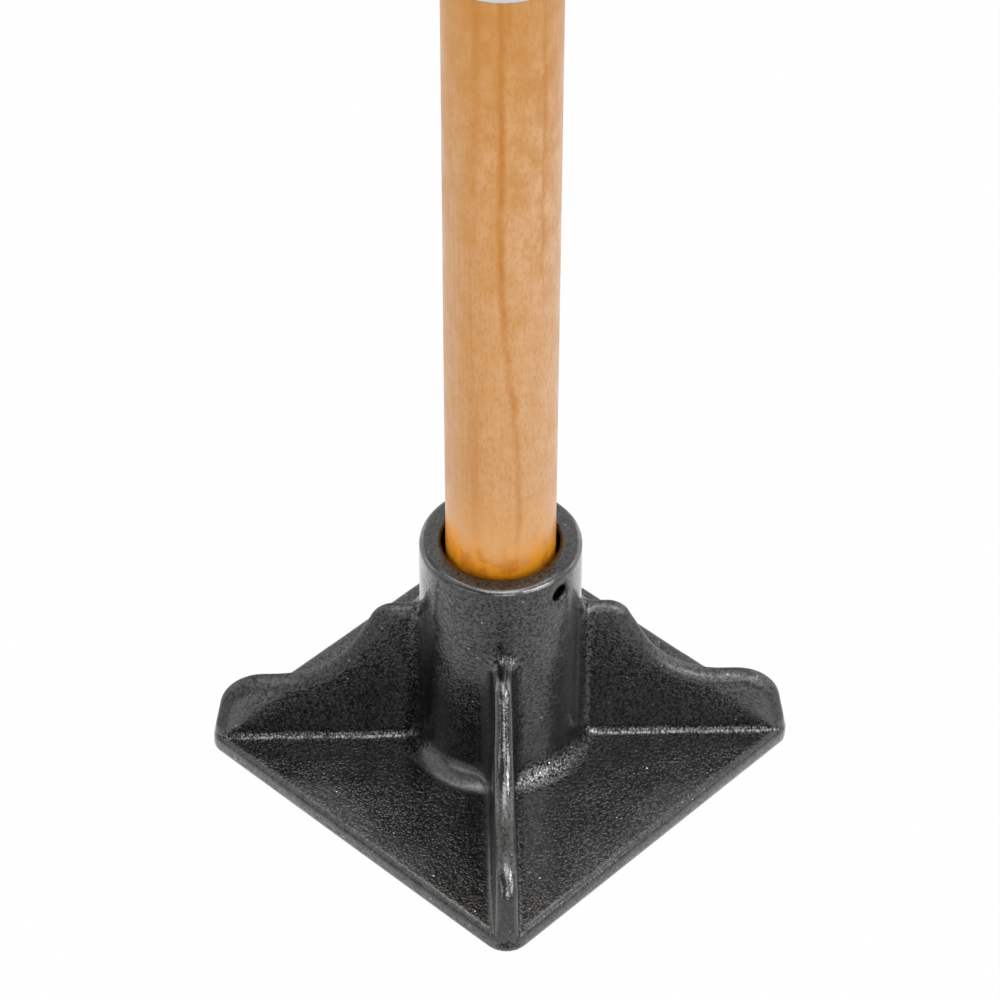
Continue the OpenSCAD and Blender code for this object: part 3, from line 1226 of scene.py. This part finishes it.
@dataclass
class Handle:
    """The round hardwood pole, in millimetres."""

    radius: float = 19.0
    foot: float = 10.0
    length: float = 1220.0
    foot_chamfer: float = 2.0
    dome: float = 7.0
    dome_rows: int = 16
    edge_row: float = 0.2
    row: float = 5.0
    around: int = 144
    waver: float = 0.06
    unevenness: Undulation = Undulation(9.0, 5)
    stretch: Triple = (1.0, 1.0, 0.1)

    def profile(self) -> Array:
        """Outline of the pole: the foot, its chamfer, the straight side, and a dome that is part of a sphere.

        Returns:
            Rows of r and z, from the middle of the foot to the top.
        """
        top = self.foot + self.length
        sphere = (self.radius**2 + self.dome**2) / (2.0 * self.dome)
        start = self.foot + self.foot_chamfer
        rows = int((self.length - self.foot_chamfer - self.dome) / self.row)
        side = np.linspace(start, top - self.dome, rows)
        bow = self.radius * np.linspace(1.0, 0.0, self.dome_rows)
        cap = np.stack([bow, top - sphere + np.sqrt(sphere**2 - bow**2)], axis=1)
        inner = self.radius - self.foot_chamfer
        low = [[bend, self.foot] for bend in (0.0, inner / 2.0, inner - self.edge_row, inner)]
        straight = np.stack([np.full(rows, self.radius), side], axis=1)
        return np.concatenate([low, straight, cap[1:]])

    def build(self, effects: SharedEffects) -> bpy.types.Object:
        """Turns the pole, makes it a little uneven, and varnishes it.

        Args:
            effects: Shared shader groups.

        Returns:
            The dressed handle.
        """
        points, faces = revolve(self.profile(), self.around)
        stretched = points * np.array(self.stretch)
        uneven = 1.0 + self.waver / self.radius * self.unevenness.heights(stretched)
        points[:, :2] *= uneven[:, None]
        return put_mesh(Piece.HANDLE, points, faces, VarnishedWood().material(effects))


@dataclass
class RetainingScrew:
    """The slotted wood screw that holds the handle, along -X from the wood's surface, in millimetres."""

    head_place: float = 19.0
    height: float = 90.0
    head_radius: float = 3.2
    head_depth: float = 2.6
    thread_radius: float = 2.0
    thread_depth: float = 0.6
    thread_start: float = 6.6
    pitch: float = 1.6
    length: float = 25.0
    point: float = 4.0
    slot_width: float = 0.9
    slot_depth: float = 1.0
    slot_edge: float = 0.1
    ridge_share: float = 0.38
    run_in: float = 1.0
    caution: float = 0.75
    grid_step: float = 0.19
    grid_room: float = 0.5
    probe: float = 0.01

    def distance(self, points: Array) -> Array:
        """Distance to the screw, negative in the steel.

        Its radius is a cone under the head, a plain shank, then a core with a V-shaped ridge that climbs one
        pitch per turn, and a cone at the point. A slot is cut across the head. The caution shortens distances
        to the steep ridge.

        Args:
            points: Places in millimetres, one row each.

        Returns:
            One distance per point.
        """
        x, y, z = points.T
        deep = self.head_place - x
        up = z - self.height
        out = np.hypot(y, up)
        phase = (deep / self.pitch - np.arctan2(up, y) / (2.0 * np.pi)) % 1.0
        ridge = np.clip(1.0 - np.abs(phase - 0.5) / self.ridge_share, 0.0, 1.0)
        threaded = smooth_step(deep, self.thread_start, self.thread_start + self.run_in)
        radius = self.thread_radius - self.thread_depth * threaded * (1.0 - ridge)
        cone = self.head_radius - (self.head_radius - self.thread_radius) * deep / self.head_depth
        radius = np.maximum(radius, cone)
        radius = radius * np.clip((self.length - deep) / self.point, 0.0, 1.0)
        shaft = np.maximum((out - radius) * self.caution, np.maximum(-deep, deep - self.length))
        slot = np.maximum(np.abs(y) - self.slot_width / 2.0, deep - self.slot_depth)
        return round_overlap(shaft, -slot, self.slot_edge)

    def build(self, effects: SharedEffects) -> bpy.types.Object:
        """Skins the screw and gives it its steel.

        Args:
            effects: Shared shader groups.

        Returns:
            The dressed screw.
        """
        room = self.head_radius + self.grid_room
        low = (self.head_place - self.length - self.grid_room, -room, self.height - room)
        high = (self.head_place + self.grid_room, room, self.height + room)
        points, quads = SurfaceNet(low, high, self.grid_step, probe=self.probe).skin(self.distance)
        return put_mesh(Piece.SCREW, points, quads.tolist(), ScrewSteel().material(effects))


@dataclass
class PaperLabel:
    """The blank paper band round the handle, with an open seam at the back, in millimetres."""

    inner_radius: float = 19.05
    paper: float = 0.2
    lower_edge: float = 329.0
    height: float = 110.0
    seam_azimuth: float = 135.0
    seam_degrees: float = 6.0
    lift: float = 0.12
    lifted_share: float = 0.03
    around: int = 180
    rows: int = 24

    def build(self, effects: SharedEffects) -> bpy.types.Object:
        """Carries the paper's thin closed section round the handle, and lifts its ends a little.

        Point (r, z) of the section at angle t becomes (r cos t, r sin t, z). The radius grows by the lift at
        both ends of the band, along a short ease.

        Args:
            effects: Shared shader groups.

        Returns:
            The dressed label.
        """
        half_seam = self.seam_degrees / 2.0
        start = math.radians(self.seam_azimuth + half_seam)
        stop = math.radians(self.seam_azimuth + 360.0 - half_seam)
        angle = np.linspace(start, stop, self.around)
        level = np.linspace(self.lower_edge, self.lower_edge + self.height, self.rows)
        outer = np.full(self.rows, self.inner_radius + self.paper)
        inner = np.full(self.rows, self.inner_radius)
        radius = np.concatenate([outer, inner])
        levels = np.concatenate([level, level[::-1]])
        share = np.linspace(0.0, 1.0, self.around)
        near_end = 1.0 - smooth_step(np.minimum(share, 1.0 - share), 0.0, self.lifted_share)
        spread = radius[None, :] + self.lift * near_end[:, None]
        points = np.stack([
            spread * np.cos(angle)[:, None],
            spread * np.sin(angle)[:, None],
            np.broadcast_to(levels, spread.shape),
        ], axis=-1).reshape(-1, 3)
        loop = 2 * self.rows
        number = np.arange(self.around * loop).reshape(self.around, loop)
        ahead = np.roll(number, -1, axis=1)
        quads = np.stack([number[:-1], number[1:], ahead[1:], ahead[:-1]], axis=-1).reshape(-1, 4)
        caps = [number[0].tolist(), number[-1][::-1].tolist()]
        return put_mesh(Piece.LABEL, points, quads.tolist() + caps, LabelPaper().material(effects))


def direction(azimuth: float, elevation: float) -> Vector:
    """Vector of length 1 at azimuth a and elevation e: (sin a cos e, -cos a cos e, sin e).

    Args:
        azimuth: Turn to the right from the front, in degrees.
        elevation: Angle above the floor, in degrees.

    Returns:
        The vector.
    """
    side = math.radians(azimuth)
    rise = math.radians(elevation)
    return Vector((math.sin(side) * math.cos(rise), -math.cos(side) * math.cos(rise), math.sin(rise)))


@dataclass(frozen=True)
class Softbox:
    """An oblong lamp that faces the head, placed by its direction as the camera sees it.

    A card only shows in glossy surfaces, as a photographer's small reflector does.
    """

    name: str
    azimuth: float
    elevation: float
    width: float
    height: float
    watts: float
    distance: float = 1.6
    card: bool = True
    aim_height: float = 0.06

    def build(self, camera_azimuth: float) -> bpy.types.Object:
        """Hangs the lamp.

        Args:
            camera_azimuth: Azimuth of the camera in degrees; the lamp's own counts from it, to the right.

        Returns:
            The lamp.
        """
        lamp = bpy.data.lights.new(self.name, "AREA")
        lamp.shape = "RECTANGLE"
        lamp.size = self.width
        lamp.size_y = self.height
        lamp.energy = self.watts
        thing = bpy.data.objects.new(self.name, lamp)
        out = direction(camera_azimuth + self.azimuth, self.elevation)
        thing.location = Vector((0.0, 0.0, self.aim_height)) + out * self.distance
        thing.rotation_euler = out.to_track_quat("Z", "Y").to_euler()
        thing.visible_diffuse = not self.card
        bpy.context.scene.collection.objects.link(thing)
        return thing


@dataclass
class Studio:
    """White floor, soft lamps, pale surroundings and the photograph's camera."""

    azimuth: float = 43.594
    elevation: float = 41.535
    distance: float = 1.195392
    aside: float = -0.000278
    aim_height: float = 0.115333
    roll: float = 0.003
    lens: float = 126.29
    floor_half: float = 6.0
    floor_colour: Colour = (0.8, 0.8, 0.8, 1.0)
    shown_white: float = 0.97
    ambient: float = 0.74
    reflected: float = 0.3
    front_white: float = 0.72
    front_reach: Span = (0.0, 0.15)
    lamps: tuple[Softbox, ...] = (
        Softbox("overhead_box", 6.0, 78.0, 2.7, 3.3, 108.0, distance=4.8, card=False),
        Softbox("back_top_card", 180.0, 70.0, 1.2, 0.6, 5.0),
        Softbox("front_strip", 12.0, 40.0, 0.45, 2.3, 5.5),
        Softbox("front_card", 4.0, 14.0, 0.5, 0.4, 2.2),
        Softbox("key_card", 53.0, 41.0, 0.8, 0.6, 13.0),
        Softbox("left_front_card", -45.0, 14.0, 1.0, 0.5, 2.6),
        Softbox("right_front_card", 50.0, 14.0, 1.0, 0.5, 7.0),
        Softbox("right_back_card", 125.0, 16.0, 1.6, 1.0, 6.5),
        Softbox("right_card", 95.0, 38.0, 1.3, 2.2, 6.0),
        Softbox("left_card", -95.0, 38.0, 1.3, 2.2, 5.8),
        Softbox("left_back_card", -125.0, 16.0, 1.6, 1.0, 5.2),
        Softbox("back_card", 180.0, 28.0, 2.6, 1.4, 5.8),
    )

    def build(self) -> None:
        """Builds the floor, the surroundings, the lamps and the camera."""
        self.build_floor()
        self.build_surroundings()
        for lamp in self.lamps:
            lamp.build(self.azimuth)
            log.info("lamp %s", lamp.name)
        self.build_camera()
        bpy.context.scene.view_settings.view_transform = "Standard"

    @staticmethod
    def seen_directly(sheet: NodeSheet) -> Socket:
        """Tells rays from the camera, from gloss and through glass from soft bounces.

        Args:
            sheet: Where the nodes are added.

        Returns:
            1 for the former and 0 for the latter.
        """
        rays = sheet.add("ShaderNodeLightPath").outputs
        shown = sheet.math("MAXIMUM", rays["Is Camera Ray"], rays["Is Glossy Ray"])
        return sheet.math("MAXIMUM", shown, rays["Is Transmission Ray"])

    def floor_glow(self, sheet: NodeSheet) -> Socket:
        """Whiteness of the floor, which reflections show a little darker in front of the tool.

        Args:
            sheet: Where the nodes are added.

        Returns:
            The whiteness, from 0 to 1.
        """
        reach = sheet.dot(sheet.place(), tuple(direction(self.azimuth, 0.0)))
        mirrored = sheet.add("ShaderNodeLightPath").outputs["Is Glossy Ray"]
        dimming = sheet.spread(reach, self.front_reach, (0.0, 1.0 - self.front_white))
        return sheet.math("SUBTRACT", 1.0, sheet.times(dimming, mirrored))

    def build_floor(self) -> None:
        """Lays a plain white floor that keeps a faint shadow."""
        half = self.floor_half
        corners = np.array([[-half, -half, 0.0], [half, -half, 0.0], [half, half, 0.0], [-half, half, 0.0]])
        mesh = bpy.data.meshes.new("floor")
        mesh.from_pydata(corners, [], [[0, 1, 2, 3]])
        material = bpy.data.materials.new("white_floor")
        material.use_nodes = True
        sheet = NodeSheet(material.node_tree)
        matte = sheet.add("ShaderNodeBsdfDiffuse", {"Color": self.floor_colour})
        glow = sheet.add("ShaderNodeEmission", {"Color": WHITE, "Strength": self.floor_glow(sheet)})
        share = sheet.times(self.seen_directly(sheet), self.shown_white)
        mixed = sheet.add("ShaderNodeMixShader", {0: share, 1: matte.outputs[0], 2: glow.outputs[0]})
        sheet.add("ShaderNodeOutputMaterial", {"Surface": mixed.outputs[0]})
        mesh.materials.append(material)
        floor = bpy.data.objects.new("floor", mesh)
        bpy.context.scene.collection.objects.link(floor)

    def build_surroundings(self) -> None:
        """Makes the world white where it is seen, dim in reflections, and a soft ambient light elsewhere."""
        world = bpy.data.worlds.new("studio")
        world.use_nodes = True
        sheet = NodeSheet(world.node_tree)
        rays = sheet.add("ShaderNodeLightPath").outputs
        seen = sheet.times(rays["Is Camera Ray"], 1.0 - self.ambient)
        mirrored = sheet.times(rays["Is Glossy Ray"], self.reflected - self.ambient)
        strength = sheet.plus(sheet.plus(seen, mirrored), self.ambient)
        light = sheet.add("ShaderNodeBackground", {"Color": WHITE, "Strength": strength})
        sheet.add("ShaderNodeOutputWorld", {"Surface": light.outputs[0]})
        bpy.context.scene.world = world

    def build_camera(self) -> None:
        """Sets the camera at the photograph's viewing angle."""
        quarter_turn = 90.0
        back = direction(self.azimuth, self.elevation)
        right = direction(self.azimuth + quarter_turn, 0.0)
        up = back.cross(right)
        aim = right * self.aside + Vector((0.0, 0.0, self.aim_height))
        turned_right = right * math.cos(self.roll) + up * math.sin(self.roll)
        turned_up = up * math.cos(self.roll) - right * math.sin(self.roll)
        lens = bpy.data.cameras.new("photo_camera")
        lens.lens = self.lens
        camera = bpy.data.objects.new("photo_camera", lens)
        turn = Matrix((turned_right, turned_up, back)).transposed().to_4x4()
        camera.matrix_world = Matrix.Translation(aim + back * self.distance) @ turn
        bpy.context.scene.collection.objects.link(camera)
        bpy.context.scene.camera = camera


def main() -> None:
    """Builds the studio and each piece of the tool."""
    logging.basicConfig(level=logging.INFO, format="%(name)s: %(message)s")
    Studio().build()
    effects = SharedEffects.build()
    for assembly in (TamperHead(), Handle(), RetainingScrew(), PaperLabel()):
        thing = assembly.build(effects)
        log.info("%s: %d faces", thing.name, len(thing.data.polygons))


if __name__ == "__main__":
    main()
